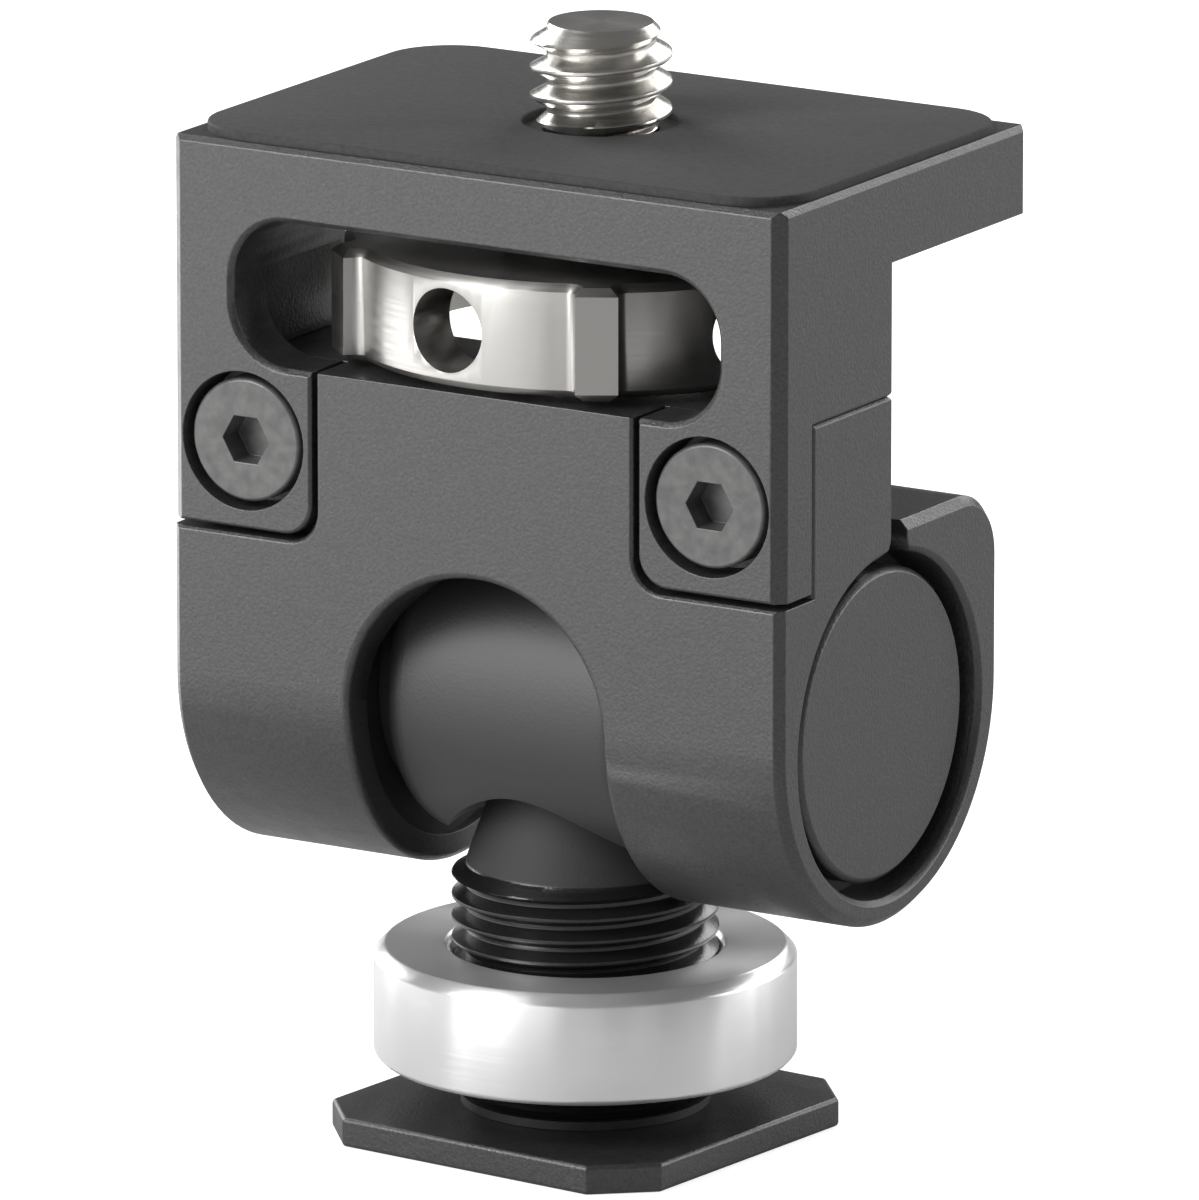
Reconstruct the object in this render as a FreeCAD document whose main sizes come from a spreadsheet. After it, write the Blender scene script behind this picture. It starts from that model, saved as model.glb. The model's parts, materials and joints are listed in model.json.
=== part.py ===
"""Tilting monitor mount with a cold-shoe foot.

Millimetres, +Z up, +X along the tilt axle. The origin is the centre of the foot's underside. Everything
above the foot is drawn about the axle's centre and lifted to axle_height.
"""
import FreeCAD, Part
import os
import Sketcher
from FreeCAD import Placement, Rotation, Vector

os.makedirs("parts", exist_ok=True)
doc = FreeCAD.newDocument("monitor_tilt_mount")

SIZES = {
    # Overall
    "axle_height": 20.65, "half_width": 15.8, "front_depth": 9.5, "edge_break": 0.25,
    # Head bracket: heights are above the axle
    "plate_top": 25.0, "plate_thickness": 4.0, "plate_rear": 12.0, "corner_break": 0.55,
    "split_level": 15.0, "window_half": 12.55, "window_top": 21.6, "window_corner": 2.8,
    "ear_depth": 2.75, "ear_inner": 8.45, "ear_bottom": 7.45, "ear_corner": 1.5, "seam": 0.26,
    "seam_break": 0.14,
    # Head screws
    "screw_x": 12.0, "screw_level": 11.45, "counterbore_radius": 3.15, "counterbore_depth": 2.1,
    "cap_head_radius": 2.8, "cap_head_height": 1.88, "head_break": 0.12, "shank_radius": 1.5, "shank_length": 5.5,
    "socket_radius": 1.2, "socket_depth": 1.3,
    # Clamp body
    "barrel_radius": 9.5, "barrel_lift": 0.5, "bore_radius": 7.8, "ledge_level": 9.05,
    "ledge_corner": 3.0, "slit_width": 1.4, "slit_round": 0.9, "slot_half": 6.6, "end_break": 0.4,
    "mouth_break": 0.25, "slot_break": 0.35,
    # Tilt axle, caps and sleeves
    "axle_radius": 6.0, "axle_half": 13.85, "knuckle_radius": 7.4, "knuckle_half": 6.4,
    "knuckle_round": 1.3, "cap_radius": 7.1, "cap_thickness": 1.5,
    "spigot_radius": 2.5, "spigot_length": 3.0, "sleeve_start": 7.1, "sleeve_end": 13.3,
    "running_gap": 0.05, "face_gap": 0.02, "spring_washer_bore": 6.3,
    # Stem
    "thread_radius": 6.0, "root_radius": 5.35, "neck_foot": 8.2, "neck_top": 4.4,
    "thread_start": 8.7,
    "shoulder_level": 3.0, "recess_radius": 6.15, "tenon_radius": 4.0, "tenon_top": 2.5,
    "stem_bottom": 1.78,
    # Foot
    "foot_half": 9.15, "foot_thickness": 1.35, "foot_corner": 2.4, "foot_turn": -5.0,
    "post_radius": 3.4, "post_top": 6.5, "groove_radius": 2.6, "groove_level": 5.0, "groove_half": 1.35,
    "grub_radius": 1.25, "grub_tip": 2.65, "grub_end": 5.2, "grub_socket_radius": 0.65,
    "swivel_washer_radius": 5.6,
    # Lock ring
    "ring_radius": 9.5, "ring_bottom": 3.53, "ring_height": 5.1, "ring_break": 0.5,
    "recess_inner": 6.6, "recess_outer": 8.9, "recess_depth": 0.85, "washer_play": 0.08,
    "washer_drop": 0.1,
    # Monitor screw and thumbwheel
    "screw_y": 1.35, "quarter_radius": 3.175, "neck_radius": 2.52, "plate_bore": 2.6,
    "screw_start": 25.3, "screw_tip": 29.85, "tip_break": 0.5, "wheel_bottom": 15.35,
    "wheel_height": 5.1, "wheel_radius": 12.2, "wheel_waist": 11.4, "lobe_width": 1.9, "lobe_fillet": 0.5,
    "wheel_wall": 2.6, "wheel_floor": 1.3, "hub_radius": 4.5, "tommy_radius": 1.9, "lobe_turn": -59.6,
    "wheel_pin_radius": 0.75, "wheel_break": 0.35,
    # Rubber pad
    "pad_inset": 0.35, "pad_height": 0.4, "pad_corner": 3.2, "pad_bore": 3.5,
}

sheet = doc.addObject("Spreadsheet::Sheet", "sizes")
for row, (alias, number) in enumerate(SIZES.items(), start=1):
    sheet.set(f"A{row}", alias)
    sheet.set(f"B{row}", str(number))
    sheet.setAlias(f"B{row}", alias)
doc.recompute()


def formula(text):
    """Turns bare size names into references to the sheet."""
    words = text.replace("(", " ( ").replace(")", " ) ").split()
    return " ".join(f"sizes.{word}" if word in SIZES else word for word in words)


def value(text):
    return float(sheet.evalExpression(formula(text)))


def bind(item, name, text):
    item.setExpression(name, formula(text))


# ---- Sketches ------------------------------------------------------------------------------------

def body(label, lift="axle_height"):
    new_body = doc.addObject("PartDesign::Body", label)
    new_body.Label = label
    new_body.Placement = Placement(Vector(0, 0, value(lift)), Rotation())
    bind(new_body, ".Placement.Base.z", lift)
    return new_body


def sketch(owner, plane, height="0"):
    """A sketch on one of the body's own planes: XZ looks along -Y, YZ along +X and XY along +Z."""
    drawing = owner.newObject("Sketcher::SketchObject", f"{owner.Label}_sketch")
    support = [item for item in owner.Origin.OriginFeatures if item.Role == f"{plane}_Plane"]
    drawing.AttachmentSupport = (support[0], [""])
    drawing.MapMode = "FlatFace"
    bind(drawing, ".AttachmentOffset.Base.z", height)
    return drawing


def tie(drawing, kind, references, text):
    constraint = Sketcher.Constraint(kind, *references, value(text))
    index = drawing.addConstraint(constraint)
    bind(drawing, f"Constraints[{index}]", text)


def tie_point(drawing, geometry, vertex, across, up):
    tie(drawing, "DistanceX", (-1, 1, geometry, vertex), across)
    tie(drawing, "DistanceY", (-1, 1, geometry, vertex), up)


def polygon(drawing, corners):
    places = [Vector(value(across), value(up), 0) for across, up in corners]
    lines = []
    for start, end in zip(places, places[1:] + places[:1]):
        lines.append(drawing.addGeometry(Part.LineSegment(start, end), False))
    for line, following in zip(lines, lines[1:] + lines[:1]):
        drawing.addConstraint(Sketcher.Constraint("Coincident", line, 2, following, 1))
    for line, (across, up) in zip(lines, corners):
        tie_point(drawing, line, 1, across, up)


def rectangle(drawing, left, right, low, high):
    polygon(drawing, [(left, low), (right, low), (right, high), (left, high)])


def circle(drawing, across, up, radius):
    centre = Vector(value(across), value(up), 0)
    shape = Part.Circle(centre, Vector(0, 0, 1), value(radius))
    geometry = drawing.addGeometry(shape, False)
    tie_point(drawing, geometry, 3, across, up)
    tie(drawing, "Radius", (geometry,), radius)


def arch(drawing, half, low):
    """A semicircle about the origin on two legs that reach down to the low level."""
    reach = value(half)
    foot = value(low)
    left, right = Vector(-reach, 0, 0), Vector(reach, 0, 0)
    left_foot, right_foot = Vector(-reach, foot, 0), Vector(reach, foot, 0)
    top = drawing.addGeometry(Part.Arc(right, Vector(0, reach, 0), left), False)
    legs = [drawing.addGeometry(Part.LineSegment(start, end), False)
            for start, end in ((left, left_foot), (left_foot, right_foot), (right_foot, right))]
    for first, second in ((top, legs[0]), (legs[0], legs[1]), (legs[1], legs[2]), (legs[2], top)):
        drawing.addConstraint(Sketcher.Constraint("Coincident", first, 2, second, 1))
    tie_point(drawing, legs[0], 1, f"0 - {half}", "0")
    tie_point(drawing, legs[1], 1, f"0 - {half}", low)
    tie_point(drawing, legs[2], 1, half, low)
    tie(drawing, "DistanceX", (-1, 1, legs[2], 2), half)
    tie(drawing, "DistanceY", (-1, 1, top, 3), "0")


# ---- Features ------------------------------------------------------------------------------------

def pad(owner, drawing, length, side="One side", reverse=False):
    feature = owner.newObject("PartDesign::Pad", f"{owner.Label}_pad")
    feature.Profile = drawing
    feature.SideType = side
    feature.Reversed = reverse
    bind(feature, "Length", length)
    doc.recompute()
    return feature


def pocket(owner, drawing, length=None, side="One side", reverse=False):
    """Cuts against the sketch's normal; with no length it goes right through both ways."""
    before = owner.Shape.Volume
    feature = owner.newObject("PartDesign::Pocket", f"{owner.Label}_pocket")
    feature.Profile = drawing
    feature.Reversed = reverse
    if length is None:
        feature.SideType = "Symmetric"
        feature.Type = "ThroughAll"
    else:
        feature.SideType = side
        bind(feature, "Length", length)
    doc.recompute()
    if owner.Shape.Volume > before - 1e-3:
        raise RuntimeError(f"{owner.Label}: a pocket cut nothing")
    return feature


def revolve(owner, drawing, kind="Revolution", axis="V_Axis"):
    feature = owner.newObject(f"PartDesign::{kind}", f"{owner.Label}_{kind.lower()}")
    feature.Profile = drawing
    feature.ReferenceAxis = (drawing, [axis])
    feature.Angle = 360
    doc.recompute()
    return feature


def ring_pattern(owner, original, count):
    feature = owner.newObject("PartDesign::PolarPattern", f"{owner.Label}_pattern")
    feature.Originals = [original]
    axis = [item for item in owner.Origin.OriginFeatures if item.Role == "Z_Axis"]
    feature.Axis = (axis[0], [""])
    feature.Angle = 360
    feature.Occurrences = count
    owner.Tip = feature
    doc.recompute()
    return feature


def edge_names(shape, test):
    return [f"Edge{number}" for number, edge in enumerate(shape.Edges, start=1) if test(edge)]


def dress(owner, kind, test, size):
    """Rounds or chamfers the edges of the body's last feature that pass the test."""
    base = owner.Tip
    names = edge_names(base.Shape, test)
    if not names:
        raise RuntimeError(f"{owner.Label}: no edge to dress")
    feature = owner.newObject(f"PartDesign::{kind}", f"{owner.Label}_{kind.lower()}")
    feature.Base = (base, names)
    bind(feature, "Radius" if kind == "Fillet" else "Size", size)
    doc.recompute()
    return feature


def distance_out(edge):
    """How far an edge parallel to Z is from the body's Z axis."""
    middle = edge.CenterOfMass
    return Vector(middle.x, middle.y, 0).Length


def near(first, second):
    return abs(first - second) < 1e-4


def spans(edge):
    box = edge.BoundBox
    return box.XLength, box.YLength, box.ZLength


def is_circle(edge, radius):
    return isinstance(edge.Curve, Part.Circle) and near(edge.Curve.Radius, radius)


def runs_along(edge, axis):
    lengths = dict(zip("XYZ", spans(edge)))
    length = lengths.pop(axis)
    return length > 1e-3 and max(lengths.values()) < 1e-4


# ---- Plain solids --------------------------------------------------------------------------------

AXIS_TURN = {"X": Rotation(Vector(0, 1, 0), 90), "Y": Rotation(Vector(1, 0, 0), -90), "Z": Rotation()}


def cylinder(radius, length, start, axis="Z"):
    """A cylinder that grows along +axis from its start point, (x, y, z) as formulas."""
    solid = doc.addObject("Part::Cylinder", "cylinder")
    solid.Placement = Placement(Vector(*[value(text) for text in start]), AXIS_TURN[axis])
    for letter, text in zip("xyz", start):
        bind(solid, f".Placement.Base.{letter}", text)
    bind(solid, "Radius", radius)
    bind(solid, "Height", length)
    return solid


def hexagon(radius, length, start, axis="Z"):
    solid = doc.addObject("Part::Prism", "hexagon")
    solid.Polygon = 6
    solid.Placement = Placement(Vector(*[value(text) for text in start]), AXIS_TURN[axis])
    for letter, text in zip("xyz", start):
        bind(solid, f".Placement.Base.{letter}", text)
    bind(solid, "Circumradius", radius)
    bind(solid, "Height", length)
    return solid


def joined(*solids):
    fusion = doc.addObject("Part::MultiFuse", "joined")
    fusion.Shapes = list(solids)
    return fusion


def cut(base, tool):
    result = doc.addObject("Part::Cut", "cut")
    result.Base = base
    result.Tool = tool
    return result


def group(*solids):
    compound = doc.addObject("Part::Compound", "group")
    compound.Links = list(solids)
    return compound


def rim_chamfer(base, test, size):
    """Chamfers the edges of a plain solid that pass the test."""
    doc.recompute()
    numbers = [number for number, edge in enumerate(base.Shape.Edges, start=1) if test(edge)]
    feature = doc.addObject("Part::Chamfer", "chamfer")
    feature.Base = base
    feature.Edges = [(number, value(size), value(size)) for number in numbers]
    return feature


def node(item, label):
    item.Label = label
    return item


def washer(label, bore, outside, thickness, start, axis="Z"):
    return node(cut(cylinder(outside, thickness, start, axis), cylinder(bore, thickness, start, axis)),
                label)


# ---- Head bracket and pad ------------------------------------------------------------------------

def on_ear_outline(edge, inset):
    """True on the front face along an ear's side and underside, or inset from them round its seat."""
    box = edge.BoundBox
    inner, bottom = value("ear_inner") - inset, value("ear_bottom") - inset
    return (near(box.YMax, -value("front_depth")) and box.ZMin > bottom - 0.01
            and box.ZMax < value("split_level") + 0.01
            and min(abs(box.XMin), abs(box.XMax)) > inner - 0.01
            and not near(box.ZMin, value("split_level")))


def on_end_seam(edge):
    """True where the head bracket and the clamp body meet, on the end faces and behind the neck."""
    box = edge.BoundBox
    at_split = near(box.ZMin, value("split_level")) and near(box.ZMax, value("split_level"))
    at_end = near(abs(box.XMax), value("half_width")) and spans(edge)[0] < 1e-4
    return (at_split and (at_end and runs_along(edge, "Y") or near(box.YMin, 0) and runs_along(edge, "X"))
            or at_end and runs_along(edge, "Z") and near(box.YMin, value("ear_depth - front_depth")))


def head_bracket():
    head = body("head_bracket")
    plate = sketch(head, "XY", "plate_top - plate_thickness")
    rectangle(plate, "0 - half_width", "half_width", "0 - front_depth", "plate_rear")
    pad(head, plate, "plate_thickness")
    neck = sketch(head, "XY", "split_level")
    rectangle(neck, "0 - half_width", "half_width", "0 - front_depth", "0")
    pad(head, neck, "plate_top - plate_thickness - split_level")
    window = sketch(head, "XZ")
    rectangle(window, "0 - window_half", "window_half", "split_level - 1", "window_top")
    pocket(head, window)
    dress(head, "Fillet", lambda edge: runs_along(edge, "Y")
          and near(abs(edge.BoundBox.XMax), value("window_half"))
          and near(edge.BoundBox.ZMin, value("window_top")), "window_corner")

    ears = sketch(head, "XZ", "front_depth")
    corner_level = "split_level + window_corner"
    for side in ("1 *", "-1 *"):
        polygon(ears, [(f"{side} ear_inner", "ear_bottom"), (f"{side} half_width", "ear_bottom"),
                       (f"{side} half_width", corner_level),
                       (f"{side} ( window_half - window_corner )", corner_level),
                       (f"{side} ( window_half - window_corner )", "split_level"),
                       (f"{side} ear_inner", "split_level")])
    pad(head, ears, "ear_depth", reverse=True)
    corners = sketch(head, "XZ", "front_depth")
    for side in ("1 *", "-1 *"):
        circle(corners, f"{side} ( window_half - window_corner )", corner_level, "window_corner")
    pocket(head, corners, "ear_depth")
    dress(head, "Fillet", lambda edge: runs_along(edge, "Y")
          and near(abs(edge.BoundBox.XMax), value("ear_inner"))
          and near(edge.BoundBox.ZMin, value("ear_bottom")), "ear_corner")
    dress(head, "Chamfer", lambda edge: on_ear_outline(edge, 0), "seam_break")
    dress(head, "Chamfer", on_end_seam, "seam_break")

    for radius, depth in (("counterbore_radius", "counterbore_depth"), ("shank_radius", "ear_depth")):
        holes = sketch(head, "XZ", "front_depth")
        for side in ("1 *", "-1 *"):
            circle(holes, f"{side} screw_x", "screw_level", radius)
        pocket(head, holes, depth)
    bore = sketch(head, "XY", "plate_top")
    circle(bore, "0", "screw_y", "plate_bore")
    pocket(head, bore, "plate_thickness")

    dress(head, "Chamfer", lambda edge: runs_along(edge, "Z")
          and near(abs(edge.BoundBox.XMax), value("half_width"))
          and (near(edge.BoundBox.YMin, -value("front_depth"))
               or near(edge.BoundBox.YMin, value("plate_rear"))), "corner_break")
    dress(head, "Chamfer", lambda edge: near(edge.BoundBox.ZMin, value("plate_top"))
          and max(spans(edge)[:2]) > 2 * value("quarter_radius"), "edge_break")
    dress(head, "Chamfer", lambda edge: near(edge.BoundBox.YMax, -value("front_depth"))
          and edge.BoundBox.ZMin > value("split_level") - 0.1
          and edge.BoundBox.ZMax < value("window_top") + 0.1
          and abs(edge.BoundBox.Center.x) < value("window_half") + 0.1
          and not near(edge.BoundBox.ZMax, value("split_level")), "edge_break")
    return head


def top_pad():
    rubber = body("top_pad")
    outline = sketch(rubber, "XY", "plate_top")
    rectangle(outline, "pad_inset - half_width", "half_width - pad_inset",
              "pad_inset - front_depth", "plate_rear - pad_inset")
    pad(rubber, outline, "pad_height")
    dress(rubber, "Fillet", lambda edge: runs_along(edge, "Z"), "pad_corner")
    hole = sketch(rubber, "XY", "plate_top + pad_height")
    circle(hole, "0", "screw_y", "pad_bore")
    pocket(rubber, hole, "pad_height")
    return rubber


def head_screws():
    """Two low-head socket cap screws, pushed in from the front through the ears."""
    screws = []
    for side in ("1 *", "-1 *"):
        seat = "counterbore_depth - front_depth"
        start = (f"{side} screw_x", seat, "axle_height + screw_level")
        face = (f"{side} screw_x", f"{seat} - cap_head_height", "axle_height + screw_level")
        cap = rim_chamfer(cylinder("cap_head_radius", "cap_head_height", face, "Y"),
                          lambda edge: near(edge.BoundBox.YMax, value(f"{seat} - cap_head_height")),
                          "head_break")
        shank = cylinder("shank_radius", "shank_length", start, "Y")
        screws.append(cut(joined(cap, shank), hexagon("socket_radius", "socket_depth", face, "Y")))
    return node(group(*screws), "head_screws")


# ---- Clamp body ----------------------------------------------------------------------------------

def clamp_body():
    clamp = body("clamp_body")
    width = "2 * half_width"
    neck = sketch(clamp, "YZ")
    rectangle(neck, "0 - front_depth", "0", "barrel_lift", "split_level")
    pad(clamp, neck, width, side="Symmetric")
    barrel = sketch(clamp, "YZ")
    circle(barrel, "0", "barrel_lift", "barrel_radius")
    pad(clamp, barrel, width, side="Symmetric")
    ledge = sketch(clamp, "YZ")
    rectangle(ledge, "0 - front_depth", "barrel_radius", "barrel_lift", "ledge_level")
    pad(clamp, ledge, width, side="Symmetric")
    ledge_top = sketch(clamp, "YZ")
    rectangle(ledge_top, "0", "barrel_radius + 1", "ledge_level", "split_level + 1")
    pocket(clamp, ledge_top)
    dress(clamp, "Fillet", lambda edge: runs_along(edge, "X")
          and near(edge.BoundBox.YMin, value("barrel_radius"))
          and near(edge.BoundBox.ZMin, value("ledge_level")), "ledge_corner")

    bore = sketch(clamp, "YZ")
    circle(bore, "0", "0", "bore_radius")
    pocket(clamp, bore)
    slit = sketch(clamp, "YZ")
    rectangle(slit, "0", "slit_width", "bore_radius - 1.5", "split_level + 1")
    pocket(clamp, slit)
    dress(clamp, "Fillet", lambda edge: runs_along(edge, "X")
          and -0.1 < edge.BoundBox.YMin < value("slit_width") + 0.1
          and value("bore_radius") - 0.6 < edge.BoundBox.ZMin < value("bore_radius") + 0.1,
          "slit_round")

    ear_seats = sketch(clamp, "XZ", "front_depth")
    for side in ("1 *", "-1 *"):
        rectangle(ear_seats, f"{side} ( ear_inner - seam )", f"{side} ( half_width + 1 )",
                  "ear_bottom - seam", "split_level + 1")
    pocket(clamp, ear_seats, "ear_depth")
    dress(clamp, "Fillet", lambda edge: runs_along(edge, "Y")
          and near(abs(edge.BoundBox.XMax), value("ear_inner - seam"))
          and near(edge.BoundBox.ZMin, value("ear_bottom - seam")), "ear_corner")
    dress(clamp, "Chamfer", lambda edge: on_ear_outline(edge, value("seam")), "seam_break")
    dress(clamp, "Chamfer", on_end_seam, "seam_break")

    slot = sketch(clamp, "XZ")
    arch(slot, "slot_half", "0 - 2 * barrel_radius")
    pocket(clamp, slot)

    def on_slot_rim(edge):
        box = edge.BoundBox
        return (box.YMin < -value("bore_radius") - 0.5 and max(abs(box.XMin), abs(box.XMax))
                < value("slot_half") + 0.1 and box.ZMax < value("slot_half") + 0.1)

    dress(clamp, "Fillet", on_slot_rim, "slot_break")

    tapped = sketch(clamp, "XZ", "front_depth - ear_depth")
    for side in ("1 *", "-1 *"):
        circle(tapped, f"{side} screw_x", "screw_level", "shank_radius")
    pocket(clamp, tapped, "shank_length")

    def on_end_face(edge):
        return near(abs(edge.BoundBox.XMin), value("half_width")) and spans(edge)[0] < 1e-4

    def on_outline(edge):
        box = edge.BoundBox
        return on_end_face(edge) and (
            is_circle(edge, value("barrel_radius")) or is_circle(edge, value("ledge_corner"))
            or runs_along(edge, "Z") and near(abs(box.YMin), value("barrel_radius"))
            or runs_along(edge, "Y") and near(box.ZMin, value("ledge_level")))

    dress(clamp, "Chamfer", on_outline, "end_break")

    for side in ("1 *", "-1 *"):
        mouth = sketch(clamp, "XZ")
        polygon(mouth, [(f"{side} ( half_width - mouth_break - 0.2 )", "bore_radius - 0.2"),
                        (f"{side} ( half_width + 0.1 )", "bore_radius - 0.2"),
                        (f"{side} ( half_width + 0.1 )", "bore_radius + mouth_break + 0.1")])
        revolve(clamp, mouth, "Groove", "H_Axis")
    return clamp


# ---- Tilt axle and its sleeves -------------------------------------------------------------------

def tilt_axle():
    """A shaft with a thicker knuckle in the middle, bored and recessed from below for the stem."""
    axle = body("tilt_axle")
    section = sketch(axle, "XZ")
    left = [("0 - axle_half", "0"), ("0 - axle_half", "axle_radius"),
            ("0 - knuckle_half", "axle_radius"), ("0 - knuckle_half", "knuckle_radius")]
    right = [(f"0 - ( {across} )", up) for across, up in reversed(left)]
    polygon(section, left + right)
    revolve(axle, section, axis="H_Axis")
    dress(axle, "Fillet", lambda edge: is_circle(edge, value("knuckle_radius")), "knuckle_round")
    seat = sketch(axle, "XZ")
    polygon(seat, [("0", "tenon_top"), ("tenon_radius", "tenon_top"),
                   ("tenon_radius", "0 - shoulder_level"), ("recess_radius", "0 - shoulder_level"),
                   ("recess_radius", "0 - neck_foot"), ("0", "0 - neck_foot")])
    revolve(axle, seat, "Groove")
    for side, reverse in (("axle_half", False), ("0 - axle_half", True)):
        socket = sketch(axle, "YZ", side)
        circle(socket, "0", "0", "spigot_radius")
        pocket(axle, socket, "spigot_length", reverse=reverse)
    return axle


def axle_cap(label, side):
    """A plain disc with a spigot that presses into the end of the axle."""
    if side > 0:
        disc_start = "axle_half"
        spigot_start = "axle_half - spigot_length"
    else:
        disc_start = "0 - axle_half - cap_thickness"
        spigot_start = "0 - axle_half"
    outer_face = value("axle_half + cap_thickness")
    disc = cylinder("cap_radius", "cap_thickness", (disc_start, "0", "axle_height"), "X")
    disc = rim_chamfer(disc, lambda edge: near(abs(edge.BoundBox.XMax), outer_face)
                       and spans(edge)[0] < 1e-4, "edge_break")
    spigot = cylinder("spigot_radius", "spigot_length", (spigot_start, "0", "axle_height"), "X")
    return node(joined(disc, spigot), label)


def friction_sleeve(label, side):
    """A split sleeve that stays in the clamp body while the axle turns in it."""
    sleeve = body(label)
    section = sketch(sleeve, "YZ", f"{side} * sleeve_start")
    circle(section, "0", "0", "bore_radius")
    pad(sleeve, section, "sleeve_end - sleeve_start", reverse=side < 0)
    inside = sketch(sleeve, "YZ")
    circle(inside, "0", "0", "axle_radius + running_gap")
    pocket(sleeve, inside)
    gap = sketch(sleeve, "YZ")
    rectangle(gap, "0 - slit_round", "slit_width + slit_round", "0", "bore_radius + 1")
    pocket(sleeve, gap)
    return sleeve


def axle_spring_washers():
    thickness = "axle_half - sleeve_end - 2 * face_gap"
    washers = []
    for start in ("sleeve_end + face_gap", "face_gap - axle_half"):
        place = (start, "0", "axle_height")
        outside = cylinder("cap_radius", thickness, place, "X")
        washers.append(cut(outside, cylinder("spring_washer_bore", thickness, place, "X")))
    return node(group(*washers), "axle_spring_washers")


# ---- Stem, ring and foot -------------------------------------------------------------------------

def threaded_stem():
    """Tenon, tapered neck and M12 stem; the thread is drawn at its outside diameter."""
    stem = body("threaded_stem")
    profile = sketch(stem, "XZ")
    low = "stem_bottom - axle_height"
    polygon(profile, [("0", "tenon_top"), ("tenon_radius", "tenon_top"),
                      ("tenon_radius", "0 - neck_top"), ("root_radius", "0 - neck_foot"),
                      ("thread_radius", "0 - thread_start"), ("thread_radius", f"{low} + edge_break"),
                      ("thread_radius - edge_break", low), ("0", low)])
    revolve(stem, profile)
    socket = sketch(stem, "XY", low)
    circle(socket, "0", "0", "post_radius + running_gap")
    pocket(stem, socket, "post_top + running_gap - stem_bottom", reverse=True)
    screw_hole = sketch(stem, "YZ")
    circle(screw_hole, "0", "groove_level - axle_height", "grub_radius")
    pocket(stem, screw_hole)
    return stem


def swivel_grub_screws():
    """Two dog-point grub screws that ride in the groove of the foot's post."""
    length = "grub_end - grub_tip"
    screws = []
    for tip, socket in (("grub_tip", "grub_end - 1"), ("0 - grub_end", "0 - grub_end")):
        blank = cylinder("grub_radius", length, (tip, "0", "groove_level"), "X")
        drive = hexagon("grub_socket_radius", "1", (socket, "0", "groove_level"), "X")
        screws.append(cut(blank, drive))
    return node(group(*screws), "swivel_grub_screws")


def shoe_foot():
    foot = body("shoe_foot", lift="0")
    foot.Placement = Placement(Vector(), Rotation(Vector(0, 0, 1), value("foot_turn")))
    bind(foot, ".Placement.Rotation.Angle", "foot_turn")
    plate = sketch(foot, "XY")
    rectangle(plate, "0 - foot_half", "foot_half", "0 - foot_half", "foot_half")
    pad(foot, plate, "foot_thickness")
    dress(foot, "Chamfer", lambda edge: runs_along(edge, "Z"), "foot_corner")
    dress(foot, "Chamfer", lambda edge: spans(edge)[2] < 1e-4, "0.5 * edge_break")
    post = sketch(foot, "XZ")
    polygon(post, [("0", "0.5 * foot_thickness"), ("post_radius", "0.5 * foot_thickness"),
                   ("post_radius", "groove_level - groove_half"),
                   ("groove_radius", "groove_level - groove_half"),
                   ("groove_radius", "groove_level + groove_half"),
                   ("post_radius", "groove_level + groove_half"),
                   ("post_radius", "post_top"), ("0", "post_top")])
    revolve(foot, post)
    return foot


def lock_ring():
    ring = body("lock_ring", lift="ring_bottom")
    profile = sketch(ring, "XZ")
    polygon(profile, [("thread_radius + running_gap", "0"), ("recess_inner", "0"),
                      ("recess_inner", "recess_depth"), ("recess_outer", "recess_depth"),
                      ("recess_outer", "0"), ("ring_radius - edge_break", "0"),
                      ("ring_radius", "edge_break"), ("ring_radius", "ring_height - ring_break"),
                      ("ring_radius - ring_break", "ring_height"),
                      ("thread_radius + running_gap + edge_break", "ring_height"),
                      ("thread_radius + running_gap", "ring_height - edge_break")])
    revolve(ring, profile)
    return ring


# ---- Monitor screw and thumbwheel ----------------------------------------------------------------

def thumb_wheel():
    """An upside-down cup: five lobes on a rim, a hub, and a tommy-bar hole between each two lobes."""
    wheel = body("thumb_wheel", lift="axle_height + wheel_bottom")
    wheel.Placement = Placement(Vector(0, value("screw_y"), value("axle_height + wheel_bottom")),
                                Rotation(Vector(0, 0, 1), value("lobe_turn")))
    bind(wheel, ".Placement.Base.y", "screw_y")
    bind(wheel, ".Placement.Rotation.Angle", "lobe_turn")
    rim = sketch(wheel, "XY")
    circle(rim, "0", "0", "wheel_waist")
    pad(wheel, rim, "wheel_height")
    lobe = sketch(wheel, "XY")
    rectangle(lobe, "wheel_waist - 0.5 * wheel_wall", "wheel_radius",
              "-0.5 * lobe_width", "0.5 * lobe_width")
    ring_pattern(wheel, pad(wheel, lobe, "wheel_height"), 5)
    dress(wheel, "Fillet", lambda edge: runs_along(edge, "Z")
          and near(distance_out(edge), value("wheel_waist")), "lobe_fillet")
    dress(wheel, "Chamfer", lambda edge: spans(edge)[2] < 1e-4, "wheel_break")
    cup = sketch(wheel, "XY")
    circle(cup, "0", "0", "wheel_waist - wheel_wall")
    circle(cup, "0", "0", "hub_radius")
    pocket(wheel, cup, "wheel_height - wheel_floor", reverse=True)
    tommy = sketch(wheel, "YZ", "0 - hub_radius - 1")
    circle(tommy, "0", "0.5 * wheel_height", "tommy_radius")
    ring_pattern(wheel, pocket(wheel, tommy, "wheel_radius"), 5)
    screw_bore = sketch(wheel, "XY")
    circle(screw_bore, "0", "0", "neck_radius")
    pocket(wheel, screw_bore)
    pin_hole = sketch(wheel, "YZ", "0 - hub_radius - 0.5")
    circle(pin_hole, "0", "0.5 * wheel_height", "wheel_pin_radius")
    pocket(wheel, pin_hole, "2 * hub_radius + 1", reverse=True)
    return wheel


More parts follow.
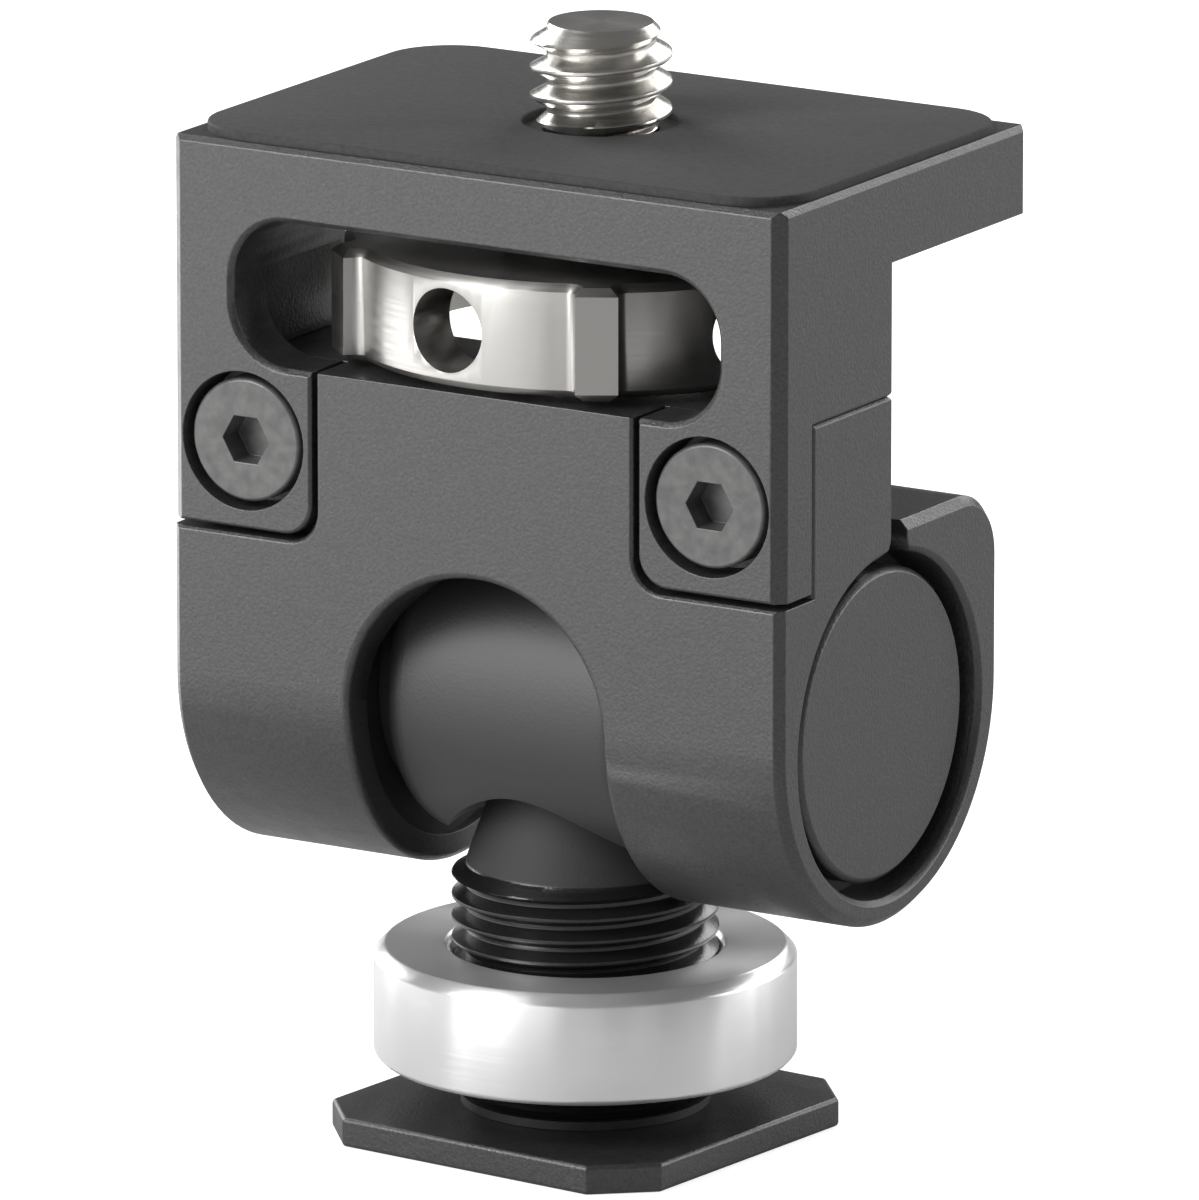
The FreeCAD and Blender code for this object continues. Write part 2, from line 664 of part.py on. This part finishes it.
def monitor_screw():
    """A captive 1/4"-20 screw: the thread is drawn at its outside diameter, above a thinner neck."""
    screw = body("monitor_screw", lift="axle_height")
    screw.Placement = Placement(Vector(0, value("screw_y"), value("axle_height")),
                                Rotation(Vector(0, 0, 1), value("lobe_turn")))
    bind(screw, ".Placement.Base.y", "screw_y")
    bind(screw, ".Placement.Rotation.Angle", "lobe_turn")
    profile = sketch(screw, "XZ")
    polygon(profile, [("0", "wheel_bottom"), ("neck_radius", "wheel_bottom"),
                      ("neck_radius", "screw_start"), ("quarter_radius", "screw_start"),
                      ("quarter_radius", "screw_tip - tip_break"),
                      ("quarter_radius - tip_break", "screw_tip"), ("0", "screw_tip")])
    revolve(screw, profile)
    pin_hole = sketch(screw, "YZ")
    circle(pin_hole, "0", "wheel_bottom + 0.5 * wheel_height", "wheel_pin_radius")
    pocket(screw, pin_hole)
    return screw


def wheel_pin():
    pin = body("wheel_pin", lift="axle_height + wheel_bottom")
    pin.Placement = Placement(Vector(0, value("screw_y"), value("axle_height + wheel_bottom")),
                              Rotation(Vector(0, 0, 1), value("lobe_turn")))
    bind(pin, ".Placement.Base.y", "screw_y")
    bind(pin, ".Placement.Rotation.Angle", "lobe_turn")
    section = sketch(pin, "YZ")
    circle(section, "0", "0.5 * wheel_height", "wheel_pin_radius")
    pad(pin, section, "2 * hub_radius - edge_break", side="Symmetric")
    return pin


# ---- Washers -------------------------------------------------------------------------------------

def wheel_washer():
    low = "wheel_bottom + wheel_height + face_gap"
    return washer("wheel_washer", "plate_bore", "hub_radius",
                  f"window_top - face_gap - ( {low} )",
                  ("0", "screw_y", f"axle_height + {low}"))


def ring_washer():
    return washer("ring_washer", "recess_inner + washer_play", "recess_outer - washer_play",
                  "recess_depth + washer_drop - face_gap", ("0", "0", "ring_bottom - washer_drop"))


def swivel_washer():
    return washer("swivel_washer", "post_radius + washer_play", "swivel_washer_radius",
                  "stem_bottom - foot_thickness - 2 * face_gap", ("0", "0", "foot_thickness + face_gap"))


# ---- Build, check and write ----------------------------------------------------------------------

PIECES = [head_bracket(), top_pad(), head_screws(), clamp_body(), tilt_axle(),
          axle_cap("axle_cap_left", -1), axle_cap("axle_cap_right", 1),
          friction_sleeve("friction_sleeve_left", -1), friction_sleeve("friction_sleeve_right", 1),
          axle_spring_washers(), threaded_stem(), swivel_grub_screws(), shoe_foot(), lock_ring(),
          ring_washer(), swivel_washer(), thumb_wheel(), monitor_screw(), wheel_pin(), wheel_washer()]
doc.recompute()

for item in doc.Objects:
    if "Invalid" in item.State or "Error" in item.State:
        raise RuntimeError(f"{item.Label} failed: {item.State}")
for piece in PIECES:
    if piece.Shape.isNull() or not piece.Shape.isValid():
        raise RuntimeError(f"{piece.Label} has no valid shape")
for piece in PIECES:
    piece.Shape.exportStep(f"parts/{piece.Label}.step")
    print(f"{piece.Label}: {len(piece.Shape.Solids)} solids, {piece.Shape.Volume:.1f} mm3")
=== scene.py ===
"""Looks of the tilting monitor mount: threads, pad, materials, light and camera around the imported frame."""
import json
import math

import bmesh
import bpy
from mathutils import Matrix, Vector


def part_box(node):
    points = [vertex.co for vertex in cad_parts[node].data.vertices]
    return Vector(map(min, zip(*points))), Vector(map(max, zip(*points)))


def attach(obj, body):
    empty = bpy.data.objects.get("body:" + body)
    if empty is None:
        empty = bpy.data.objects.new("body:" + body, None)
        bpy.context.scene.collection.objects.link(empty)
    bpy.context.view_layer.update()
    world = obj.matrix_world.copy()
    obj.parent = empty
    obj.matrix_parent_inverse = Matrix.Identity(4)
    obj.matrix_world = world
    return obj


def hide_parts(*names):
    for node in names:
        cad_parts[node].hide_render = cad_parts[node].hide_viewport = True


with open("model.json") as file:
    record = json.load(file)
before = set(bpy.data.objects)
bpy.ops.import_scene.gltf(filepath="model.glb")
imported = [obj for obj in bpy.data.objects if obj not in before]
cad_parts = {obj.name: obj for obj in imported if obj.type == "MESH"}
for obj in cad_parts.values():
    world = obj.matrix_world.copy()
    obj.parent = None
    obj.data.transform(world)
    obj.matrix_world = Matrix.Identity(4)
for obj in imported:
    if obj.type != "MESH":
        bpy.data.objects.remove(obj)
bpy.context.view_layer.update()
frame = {"nodes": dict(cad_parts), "record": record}

MM = 0.001
SAME_POINT = 1e-7        # points closer than this, in metres, are joined
FLAT_ANGLE = 0.5         # degrees between triangles up to which they count as one flat face
SHARP_ANGLE = 35         # degrees between faces from which a modelled edge is drawn sharp
STEPS_AROUND = 144       # points round a threaded piece
NECK_FOOT = 12.45        # the height where the stem's thread ends and its neck begins, in millimetres


# ---- Materials -----------------------------------------------------------------------------------

def new_material(name, color, roughness, metallic=0.0, specular=0.5):
    """A material and its shader; color and roughness are also the plain look where no texture is read."""
    material = bpy.data.materials.new(name)
    material.use_nodes = True
    shader = material.node_tree.nodes["Principled BSDF"]
    shader.inputs["Base Color"].default_value = (*color, 1)
    shader.inputs["Roughness"].default_value = roughness
    shader.inputs["Metallic"].default_value = metallic
    shader.inputs["Specular IOR Level"].default_value = specular
    return material, shader


def link(material, start, end):
    """Joins an output socket to an input socket."""
    material.node_tree.links.new(start, end)


def noise(material, scale, detail, squeeze_z=1):
    """Noise in object space with scale in features per metre, and squeeze_z times as many along Z."""
    nodes = material.node_tree.nodes
    place, mapping = nodes.new("ShaderNodeTexCoord"), nodes.new("ShaderNodeMapping")
    mapping.inputs["Scale"].default_value = (1, 1, squeeze_z)
    texture = nodes.new("ShaderNodeTexNoise")
    texture.inputs["Scale"].default_value = scale
    texture.inputs["Detail"].default_value = detail
    link(material, place.outputs["Object"], mapping.inputs["Vector"])
    link(material, mapping.outputs["Vector"], texture.inputs["Vector"])
    return texture.outputs["Fac"]


def spread(material, factor, low, high, start=0.3, end=0.7):
    """Maps a factor from start..end to low..high; most noise lies between the usual start and end."""
    ranged = material.node_tree.nodes.new("ShaderNodeMapRange")
    for name, number in (("From Min", start), ("From Max", end), ("To Min", low), ("To Max", high)):
        ranged.inputs[name].default_value = number
    link(material, factor, ranged.inputs["Value"])
    return ranged.outputs["Result"]


def tint(material, shader, factor, dark, light, start=0.3, end=0.7):
    """Varies the base colour between two colours as a factor goes from start to end."""
    mixer = material.node_tree.nodes.new("ShaderNodeMix")
    mixer.data_type = "RGBA"
    mixer.inputs[6].default_value = (*dark, 1)
    mixer.inputs[7].default_value = (*light, 1)
    link(material, spread(material, factor, 0, 1, start, end), mixer.inputs[0])
    link(material, mixer.outputs[2], shader.inputs["Base Color"])


def bump(material, shader, height, depth, strength):
    """Relief from a height factor, with its depth in metres."""
    relief = material.node_tree.nodes.new("ShaderNodeBump")
    relief.inputs["Strength"].default_value = strength
    relief.inputs["Distance"].default_value = depth
    link(material, height, relief.inputs["Height"])
    link(material, relief.outputs["Normal"], shader.inputs["Normal"])


def vary_roughness(material, shader, factor, low, high, start=0.3, end=0.7):
    """Varies the roughness between two values as a factor goes from start to end."""
    link(material, spread(material, factor, low, high, start, end), shader.inputs["Roughness"])


def turned_sheen(material, shader, amount):
    """Lathe lines round a vertical axis spread the highlights upwards and downwards."""
    around = material.node_tree.nodes.new("ShaderNodeTangent")
    around.direction_type = "RADIAL"
    around.axis = "Z"
    link(material, around.outputs["Tangent"], shader.inputs["Tangent"])
    shader.inputs["Anisotropic"].default_value = amount
    shader.inputs["Anisotropic Rotation"].default_value = 0.25      # a quarter turn: across the lines


def blasted_anodising():
    """Bead-blasted black anodised aluminium: a fine even grain with a faint cloudiness."""
    material, shader = new_material("black_anodised", (0.022, 0.0225, 0.0235), roughness=0.4, specular=1.0)
    grain = noise(material, scale=6500, detail=3)
    tint(material, shader, grain, (0.011, 0.0112, 0.0118), (0.034, 0.0345, 0.036))
    vary_roughness(material, shader, noise(material, scale=900, detail=4), low=0.36, high=0.44)
    bump(material, shader, grain, depth=0.000024, strength=1.0)
    return material


def machining_marks(material, shader):
    """The fine unevenness of a machined and anodised surface."""
    bump(material, shader, noise(material, scale=6500, detail=2), depth=0.000014, strength=0.9)


def smooth_anodising():
    """Machined black anodising of the axle."""
    material, shader = new_material("smooth_anodised", (0.026, 0.026, 0.027), roughness=0.52, specular=0.8)
    machining_marks(material, shader)
    return material


def stem_anodising():
    """The stem's black anodising: matt on the neck, glossier on the thread, whose darker base colour there is
    painted shade.
    """
    material, shader = new_material("stem_anodised", (0.02, 0.02, 0.021), roughness=0.65, specular=0.62)
    nodes = material.node_tree.nodes
    place, split = nodes.new("ShaderNodeTexCoord"), nodes.new("ShaderNodeSeparateXYZ")
    link(material, place.outputs["Object"], split.inputs["Vector"])
    height, start = split.outputs["Z"], NECK_FOOT * MM
    end = start + 0.1 * MM
    # painted shade: the whole thread below the neck foot gets a darker base colour
    tint(material, shader, height, (0.011, 0.011, 0.0115), (0.02, 0.02, 0.021), start, end)
    vary_roughness(material, shader, height, low=0.24, high=0.68, start=start, end=end)
    machining_marks(material, shader)
    return material


def rubber():
    """Matt black rubber with a fine grain."""
    material, shader = new_material("black_rubber", (0.045, 0.045, 0.047), roughness=0.75, specular=0.35)
    grain = noise(material, scale=4200, detail=4)
    tint(material, shader, grain, (0.038, 0.038, 0.04), (0.055, 0.055, 0.057))
    bump(material, shader, grain, depth=0.00002, strength=0.5)
    return material


def black_oxide():
    """Blackened steel, a little cloudy."""
    material, shader = new_material("black_oxide", (0.12, 0.12, 0.12), roughness=0.38, metallic=0.4)
    tint(material, shader, noise(material, scale=1800, detail=4), (0.1, 0.1, 0.1), (0.15, 0.15, 0.147))
    bump(material, shader, noise(material, scale=7000, detail=2), depth=0.000006, strength=0.5)
    return material


def stainless(name, color, smooth, rough):
    """Turned stainless steel with fine lathe lines around the axis."""
    material, shader = new_material(name, color, (smooth + rough) / 2, metallic=1.0)
    lines = noise(material, scale=300, detail=3, squeeze_z=30)
    vary_roughness(material, shader, lines, smooth, rough)
    turned_sheen(material, shader, amount=0.4)
    bump(material, shader, lines, depth=0.000003, strength=0.4)
    return material


def satin_aluminium():
    """Turned aluminium with finer lathe lines than the steel."""
    material, shader = new_material("satin_aluminium", (0.9, 0.9, 0.91), roughness=0.34, metallic=0.8)
    lines = noise(material, scale=200, detail=3, squeeze_z=45)
    vary_roughness(material, shader, lines, low=0.28, high=0.36)
    turned_sheen(material, shader, amount=0.7)
    bump(material, shader, lines, depth=0.000002, strength=0.4)
    return material


def nylon():
    """Black nylon of the washers and sleeves."""
    material, shader = new_material("black_nylon", (0.02, 0.02, 0.02), roughness=0.55)
    tint(material, shader, noise(material, scale=2500, detail=3), (0.016,) * 3, (0.026,) * 3)
    return material


MATERIALS = {
    "black_anodised": blasted_anodising(), "black_anodised_smooth": smooth_anodising(),
    "black_rubber": rubber(), "black_oxide_steel": black_oxide(),
    "stainless_steel": stainless("stainless", (0.72, 0.7, 0.66), smooth=0.18, rough=0.28),
    "satin_aluminium": satin_aluminium(), "black_nylon": nylon(),
}
SLOTS = {part["node"]: part["material_slot"] for part in frame["record"]["subparts"]}

for node_name, node_object in frame["nodes"].items():
    node_object.data.materials.clear()
    node_object.data.materials.append(MATERIALS[SLOTS[node_name]])
frame["nodes"]["thumb_wheel"].data.materials[0] = stainless(
    "satin_stainless", (0.5, 0.488, 0.47), smooth=0.3, rough=0.4)


def soften(node, width, least_angle):
    """Rounds a CAD node's edges that turn by an angle or more, so that they catch the light."""
    piece = frame["nodes"][node]
    weld = piece.modifiers.new("weld", "WELD")
    weld.merge_threshold = SAME_POINT
    joined = piece.modifiers.new("joined_flats", "DECIMATE")
    joined.decimate_type = "DISSOLVE"
    joined.angle_limit = math.radians(FLAT_ANGLE)
    rounding = piece.modifiers.new("rounding", "BEVEL")
    rounding.width = width * MM
    rounding.segments = 2
    rounding.limit_method = "ANGLE"
    rounding.angle_limit = math.radians(least_angle)
    rounding.use_clamp_overlap = node == "thumb_wheel"     # its hole rims lie close to its lobes' edges
    rounding.harden_normals = True


for node_name, edge_width, edge_angle in (
        ("head_bracket", 0.05, 28), ("clamp_body", 0.05, 42), ("head_screws", 0.05, 28),
        ("axle_cap_left", 0.06, 28), ("axle_cap_right", 0.06, 28), ("lock_ring", 0.08, 28),
        ("shoe_foot", 0.08, 28), ("thumb_wheel", 0.06, 28)):
    soften(node_name, edge_width, edge_angle)


# ---- Pieces that replace plain CAD shapes --------------------------------------------------------

def stand_in(name, mesh, node, body, finish=None):
    """Turns a bmesh into a piece that takes the place of a CAD node, and its finish if none is given."""
    data = bpy.data.meshes.new(name)
    bmesh.ops.remove_doubles(mesh, verts=mesh.verts, dist=SAME_POINT)
    bmesh.ops.recalc_face_normals(mesh, faces=mesh.faces)
    mesh.to_mesh(data)
    mesh.free()
    data.shade_smooth()
    data.set_sharp_from_angle(angle=math.radians(SHARP_ANGLE))
    data.materials.append(finish or MATERIALS[SLOTS[node]])
    piece = bpy.data.objects.new(name, data)
    bpy.context.scene.collection.objects.link(piece)
    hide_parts(node)
    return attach(piece, body)


# A rolled thread's section over one pitch: how far along, and how high between root and crest.
THREAD_SECTION = [(0.0, 0.0), (0.09, 0.02), (0.14, 0.12), (0.38, 0.88), (0.43, 0.98), (0.5, 1.0),
                  (0.57, 0.98), (0.62, 0.88), (0.86, 0.12), (0.91, 0.02)]


def lift_at(share):
    """How high the section is at a share of the pitch, between root 0 and crest 1."""
    share %= 1.0
    ends = THREAD_SECTION + [(1.0, 0.0)]
    for (start, low), (end, high) in zip(ends, ends[1:]):
        if share <= end:
            return low + (high - low) * (share - start) / (end - start)
    return 0.0


def thread_rows(bottom, top, pitch, crest, root, crest_at, limit):
    """Rows of (radius, angle, height) along a right-hand thread between two heights.

    crest_at is the height of a crest at angle 0, and limit(height) the largest radius there, which
    makes the chamfer and the run-out at the ends.
    """
    rows = []
    first = math.floor((bottom - crest_at) / pitch) - 1
    last = math.ceil((top - crest_at) / pitch) + 1
    for turn in range(first, last):
        for share, _ in THREAD_SECTION:
            row = []
            for step in range(STEPS_AROUND + 1):
                part = step / STEPS_AROUND
                height = crest_at + (turn + share - 0.5 + part) * pitch
                height = min(max(height, bottom), top)
                phase = (height - crest_at) / pitch + 0.5 - part
                radius = root + (crest - root) * lift_at(phase)
                row.append((min(radius, limit(height)), part * math.tau, height))
            rows.append(row)
    return rows


def ring_row(radius, height):
    """A level row of points round the axis."""
    return [(radius, step / STEPS_AROUND * math.tau, height) for step in range(STEPS_AROUND + 1)]


def rod_mesh(rows, axis_x=0.0, axis_y=0.0):
    """A closed mesh through rows of points round a vertical axis, in millimetres."""
    mesh = bmesh.new()
    grid = []
    for row in rows:
        grid.append([mesh.verts.new(((axis_x + radius * math.cos(angle)) * MM,
                                     (axis_y + radius * math.sin(angle)) * MM, height * MM))
                     for radius, angle, height in row])
    for low, high in zip(grid, grid[1:]):
        for step in range(STEPS_AROUND):
            mesh.faces.new((low[step], low[step + 1], high[step + 1], high[step]))
    mesh.faces.new(list(reversed(grid[0][:-1])))
    mesh.faces.new(grid[-1][:-1])
    return mesh


def build_monitor_screw():
    """1/4"-20 screw: rolled thread with a chamfered tip above a plain neck."""
    low, high = (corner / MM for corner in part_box("monitor_screw"))
    axis_x, axis_y = (low.x + high.x) / 2, (low.y + high.y) / 2
    crest, root, pitch, tip_chamfer = 3.175, 2.42, 1.27, 0.85
    neck, thread_start, neck_top = 2.5, 2.521, 45.7       # two radii and a height

    def limit(height):
        return min(crest, crest - tip_chamfer + high.z - height, thread_start + height - neck_top)

    rows = [ring_row(neck, low.z), ring_row(neck, neck_top)]
    rows += thread_rows(neck_top, high.z, pitch, crest, root, crest_at=47.7, limit=limit)
    stand_in("monitor_screw_thread", rod_mesh(rows, axis_x, axis_y), "monitor_screw", "wheel")


def build_stem():
    """M12 x 1 stem with a tapered neck and a tenon above, and the socket for the foot's post below."""
    low, high = (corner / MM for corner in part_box("threaded_stem"))
    crest, root, pitch = 6.0, 5.35, 1.0
    lead_in, lead_in_slope, run_out_slope = 5.3, 0.9, 1.2
    neck_top, tenon_radius = 16.25, 4.0
    neck_shares, tenon_foot = (0.02, 0.06, 0.5, 0.97, 1.0), 16.35    # close rows keep the shading even
    socket_radius, socket_top = 3.45, 6.55

    def limit(height):
        return min(crest, lead_in + lead_in_slope * (height - low.z),
                   root + run_out_slope * (NECK_FOOT - height))

    rows = [ring_row(0.0, socket_top), ring_row(socket_radius, socket_top),
            ring_row(socket_radius, low.z)]
    rows += thread_rows(low.z, NECK_FOOT, pitch, crest, root, crest_at=11.31, limit=limit)
    rows += [ring_row(root + (tenon_radius - root) * share, NECK_FOOT + (neck_top - NECK_FOOT) * share)
             for share in neck_shares]
    rows += [ring_row(tenon_radius, tenon_foot), ring_row(tenon_radius, high.z)]
    stand_in("stem_thread", rod_mesh(rows), "threaded_stem", "stem", stem_anodising())


def build_pad():
    """The thin rubber pad, with softened edges and a hole around the screw."""
    low, high = (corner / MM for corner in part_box("top_pad"))
    corner, hole, hole_y, soft = 3.2, 3.5, 1.35, 0.12
    corner_steps, hole_steps, soft_steps = 12, 72, 4
    mesh = bmesh.new()

    def outline(inset, height):
        points = []
        for sign_x, sign_y, first in ((1, 1, 0), (-1, 1, 90), (-1, -1, 180), (1, -1, 270)):
            centre_x = (high.x if sign_x > 0 else low.x) - sign_x * corner
            centre_y = (high.y if sign_y > 0 else low.y) - sign_y * corner
            for step in range(corner_steps + 1):
                angle = math.radians(first + 90 * step / corner_steps)
                points.append(mesh.verts.new(((centre_x + (corner - inset) * math.cos(angle)) * MM,
                                              (centre_y + (corner - inset) * math.sin(angle)) * MM,
                                              height * MM)))
        return points

    def hole_rim(inset, height):
        angles = [step / hole_steps * math.tau for step in range(hole_steps)]
        return [mesh.verts.new(((hole + inset) * math.cos(angle) * MM,
                                (hole_y + (hole + inset) * math.sin(angle)) * MM,
                                height * MM)) for angle in angles]

    def band(first, second):
        for index in range(len(first)):
            following = (index + 1) % len(first)
            mesh.faces.new((first[index], first[following], second[following], second[index]))

    def soft_wall(ring):
        """Rings from the underside up the wall and over the softened top edge."""
        rings = [ring(0.0, low.z)]
        for step in range(soft_steps + 1):
            angle = math.radians(90 * step / soft_steps)
            rings.append(ring(soft * (1 - math.cos(angle)), high.z - soft * (1 - math.sin(angle))))
        for first, second in zip(rings, rings[1:]):
            band(first, second)
        return rings

    outer, inner = soft_wall(outline), soft_wall(hole_rim)
    for loops in ((outer[-1], inner[-1]), (outer[0], inner[0])):
        edges = [mesh.edges.get((ring[index], ring[(index + 1) % len(ring)]))
                 for ring in loops for index in range(len(ring))]
        bmesh.ops.triangle_fill(mesh, edges=edges, use_beauty=True)
    stand_in("top_pad_rubber", mesh, "top_pad", "head")


build_monitor_screw()
build_stem()
build_pad()


# ---- Floor, light and camera ---------------------------------------------------------------------

MIDDLE = Vector((0, 0, 0.027))
SOFT_BOX_SIZE, SOFT_BOX_DISTANCE = 0.34, 0.7
CARD_SIZE, CARD_DISTANCE, CARD_HEIGHT = 0.2, 0.17, 0.002
FLOOR_HALF = 6.0
VIEW_AZIMUTH, VIEW_ELEVATION, VIEW_DISTANCE = 31.376, 13.808, 0.8036
AIM_RIGHT, AIM_DOWN = 0.00063, 0.00256         # how far the picture's centre lies from MIDDLE
UNSEEN_WORLD, SEEN_WORLD = 0.155, 1.0          # the world's strength as light and as background


def flat_ground(name, height, color, glow):
    """A wide horizontal plane; glow keeps it pale where the object shades it."""
    material, shader = new_material(name, (color,) * 3, roughness=0.9, specular=0.1)
    shader.inputs["Emission Color"].default_value = (1, 1, 1, 1)
    shader.inputs["Emission Strength"].default_value = glow
    mesh = bmesh.new()
    bmesh.ops.create_grid(mesh, x_segments=4, y_segments=4, size=FLOOR_HALF)
    data = bpy.data.meshes.new(name)
    mesh.to_mesh(data)
    mesh.free()
    data.materials.append(material)
    plane = bpy.data.objects.new(name, data)
    plane.location.z = height
    bpy.context.scene.collection.objects.link(plane)
    return plane


def studio_floor():
    """The pale floor that is seen, and a dimmer one that only lights the object from below."""
    seen = flat_ground("floor", height=-0.02 * MM, color=0.6, glow=0.8)
    seen.visible_diffuse = seen.visible_glossy = seen.visible_shadow = False
    bounce = flat_ground("floor_bounce", height=-0.04 * MM, color=0.5, glow=0.09)
    bounce.visible_camera = False


def direction(azimuth, elevation):
    """The way from the object to a place that is azimuth degrees round from -Y and elevation up."""
    turn, rise = math.radians(azimuth), math.radians(elevation)
    return Vector((math.sin(turn) * math.cos(rise), -math.cos(turn) * math.cos(rise), math.sin(rise)))


def area_light(name, size, power, place, towards):
    """A square light at a place that shines towards a direction and isn't seen itself."""
    light = bpy.data.lights.new(name, "AREA")
    light.size = size
    light.energy = power
    lamp = bpy.data.objects.new(name, light)
    lamp.location = place
    lamp.rotation_mode = "QUATERNION"
    lamp.rotation_quaternion = towards.to_track_quat("-Z", "Y")
    lamp.visible_camera = False
    bpy.context.scene.collection.objects.link(lamp)


def soft_box(name, azimuth, elevation, power):
    """A large soft light that faces the object."""
    towards = direction(azimuth, elevation)
    area_light(name, SOFT_BOX_SIZE, power, MIDDLE + SOFT_BOX_DISTANCE * towards, -towards)


def floor_card(name, azimuth, power):
    """A small card on the floor that lights the object from below."""
    area_light(name, CARD_SIZE, power, CARD_DISTANCE * direction(azimuth, 0) + Vector((0, 0, CARD_HEIGHT)),
               Vector((0, 0, 1)))


def camera():
    """A long lens, a little above the object and round to its right."""
    back = direction(VIEW_AZIMUTH, VIEW_ELEVATION)
    right = Vector((0, 0, 1)).cross(back).normalized()
    aim = MIDDLE + AIM_RIGHT * right - AIM_DOWN * back.cross(right)
    data = bpy.data.cameras.new("camera")
    data.lens, data.sensor_width = 541.4, 36
    data.clip_start, data.clip_end = 0.05, 50
    eye = bpy.data.objects.new("camera", data)
    eye.location = MIDDLE + VIEW_DISTANCE * back
    eye.rotation_mode = "QUATERNION"
    eye.rotation_quaternion = (aim - eye.location).to_track_quat("-Z", "Y")
    bpy.context.scene.collection.objects.link(eye)
    bpy.context.scene.camera = eye


def studio_world():
    """A white surrounding that is dimmer where it lights the object than where it is seen."""
    world = bpy.data.worlds.new("studio")
    world.use_nodes = True
    nodes, links = world.node_tree.nodes, world.node_tree.links
    path, ranged = nodes.new("ShaderNodeLightPath"), nodes.new("ShaderNodeMapRange")
    ranged.inputs["To Min"].default_value = UNSEEN_WORLD
    ranged.inputs["To Max"].default_value = SEEN_WORLD
    links.new(path.outputs["Is Camera Ray"], ranged.inputs["Value"])
    links.new(ranged.outputs["Result"], nodes["Background"].inputs["Strength"])
    nodes["Background"].inputs["Color"].default_value = (1, 1, 1, 1)
    bpy.context.scene.world = world


studio_floor()
studio_world()
camera()
for name, azimuth, elevation, power in (
        ("key", -30, 15, 1.85), ("key_high", -30, 38, 2.7), ("left", -110, 15, 1.55),
        ("left_high", -110, 38, 1.45), ("front", 0, 15, 0.33), ("right", 122, 15, 1.2),
        ("right_back", 149, 15, 1.0), ("back", 180, 30, 1.35)):
    soft_box(name, azimuth, elevation, power)
for name, azimuth, power in (("left_card", -95, 0.28), ("key_card", -31, 0.085)):
    floor_card(name, azimuth, power)
bpy.context.scene.view_settings.view_transform = "Standard"
